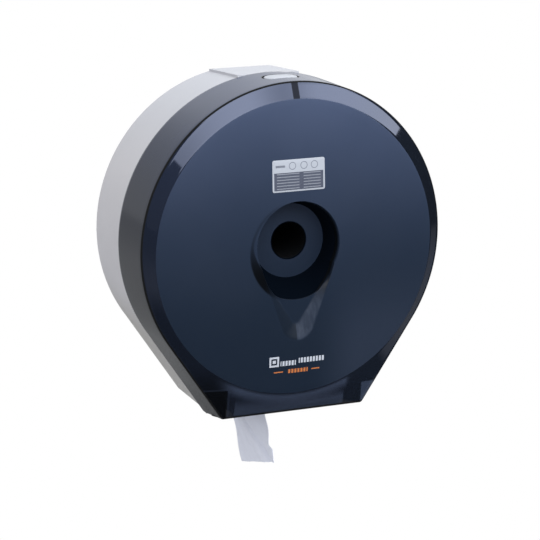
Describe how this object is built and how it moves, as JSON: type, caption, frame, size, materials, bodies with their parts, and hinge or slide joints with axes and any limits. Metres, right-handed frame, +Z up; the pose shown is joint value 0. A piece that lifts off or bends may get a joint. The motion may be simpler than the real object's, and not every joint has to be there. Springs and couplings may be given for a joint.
{
  "type": "jumbo toilet roll dispenser",
  "caption": "Round wall-mounted dispenser for a jumbo toilet roll, with a smoked cover that hinges down at the foot, a push-button latch and toothed tear strips.",
  "frame": {"origin": "centre of the four wall screw holes, in the plane of the wall, on the spindle's axis", "axes": "+Z up the wall, -Y out of the wall towards the user, +X to the user's right"},
  "size_m": [0.2708, 0.1242, 0.3559],
  "materials": {
    "housing": "light grey moulded ABS, fine satin texture",
    "smoked_cover": "smoked blue-grey clear plastic, glossy rim and bezel, satin face",
    "spindle": "black moulded plastic",
    "fastener": "zinc-plated steel",
    "button": "pale grey moulded plastic, smooth",
    "spring": "drawn spring wire",
    "tear_strip": "stamped stainless sheet",
    "core_board": "spiral-wound grey-brown board",
    "tissue": "soft two-ply tissue"
  },
  "bodies": {
    "root": {"rear_housing": "housing", "roll_spindle": "spindle", "spindle_screws": "fastener", "hinge_pin_left": "fastener", "hinge_pin_right": "fastener", "latch_spring": "spring", "latch_retainer": "housing", "latch_screws": "fastener", "tear_strip_left": "tear_strip", "tear_strip_right": "tear_strip", "tear_strip_screws": "fastener", "paper_tail": "tissue"},
    "cover": {"front_cover": "smoked_cover"},
    "latch": {"latch_button": "button"},
    "roll": {"core_tube": "core_board", "paper_roll": "tissue"}
  },
  "joints": [
    {"name": "cover_hinge", "type": "hinge", "parent": "root", "child": "cover", "pos_m": [0, -0.065, -0.149], "axis": [1, 0, 0], "range_deg": [0, 95], "deforming": ["paper_tail"]},
    {"name": "latch_press", "type": "slide", "parent": "root", "child": "latch", "axis": [0, 0, -1], "range_m": [0, 0.0052], "stiffness_N_per_m": 600, "springref_m": -0.002, "deforming": ["latch_spring"]},
    {"name": "roll_spin", "type": "hinge", "parent": "root", "child": "roll", "pos_m": [0, -0.05, -0.0077], "axis": [0, 1, 0], "continuous": true}
  ]
}
